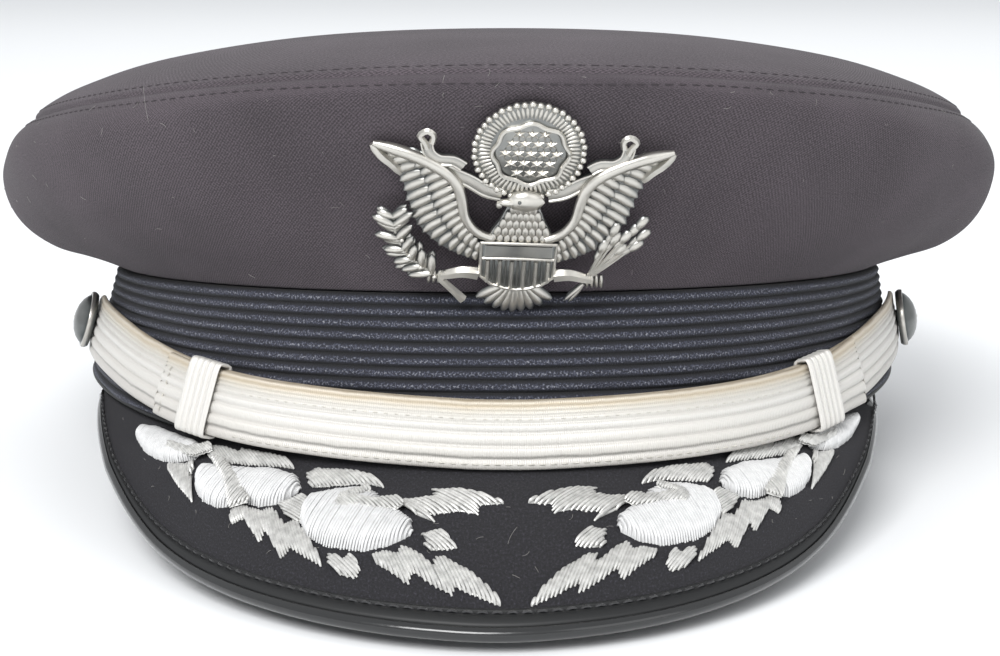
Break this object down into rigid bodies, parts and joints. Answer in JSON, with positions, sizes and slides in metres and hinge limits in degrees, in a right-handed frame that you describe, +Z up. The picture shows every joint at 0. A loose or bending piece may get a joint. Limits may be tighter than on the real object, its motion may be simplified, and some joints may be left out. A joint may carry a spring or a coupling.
{
  "type": "forage cap",
  "caption": "officer's peaked forage cap with a ribbed braid band, embroidered peak, lace chin strap, side buttons and an eagle badge",
  "frame": {"origin": "middle of the bounding box on the surface that the cap stands on", "axes": "+Z up, the peak points to -Y, +X is on the right of somebody who looks at the peak"},
  "size_m": [0.2272, 0.2854, 0.1006],
  "materials": {
    "crown_cloth": "wool twill",
    "band_braid": "ribbed mohair braid",
    "visor_cloth": "felt",
    "visor_rim": "patent gloss",
    "strap_lace": "silver lace",
    "pewter": "tarnished pewter",
    "cloud_padding": "padded satin stitch",
    "dart_bullion": "silver bullion wire"
  },
  "bodies": {
    "root": {"badge": "pewter", "braid_band": "band_braid", "button_left": "pewter", "button_right": "pewter", "cloud_inner_left": "cloud_padding", "cloud_inner_right": "cloud_padding", "cloud_middle_left": "cloud_padding", "cloud_middle_right": "cloud_padding", "cloud_outer_left": "cloud_padding", "cloud_outer_right": "cloud_padding", "crown_side": "crown_cloth", "crown_top": "crown_cloth", "curl_lower_left": "dart_bullion", "curl_lower_right": "dart_bullion", "curl_upper_left": "dart_bullion", "curl_upper_right": "dart_bullion", "dart_inner_left": "dart_bullion", "dart_inner_right": "dart_bullion", "dart_lower_left": "dart_bullion", "dart_lower_right": "dart_bullion", "dart_middle_left": "dart_bullion", "dart_middle_right": "dart_bullion", "dart_outer_left": "dart_bullion", "dart_outer_right": "dart_bullion", "dart_short_left": "dart_bullion", "dart_short_right": "dart_bullion", "dart_upper_left": "dart_bullion", "dart_upper_right": "dart_bullion", "keeper_left": "strap_lace", "keeper_right": "strap_lace", "strap_back": "strap_lace", "strap_front": "strap_lace", "visor": "visor_cloth", "visor_rim": "visor_rim", "visor_welt": "visor_cloth"}
  },
  "joints": []
}
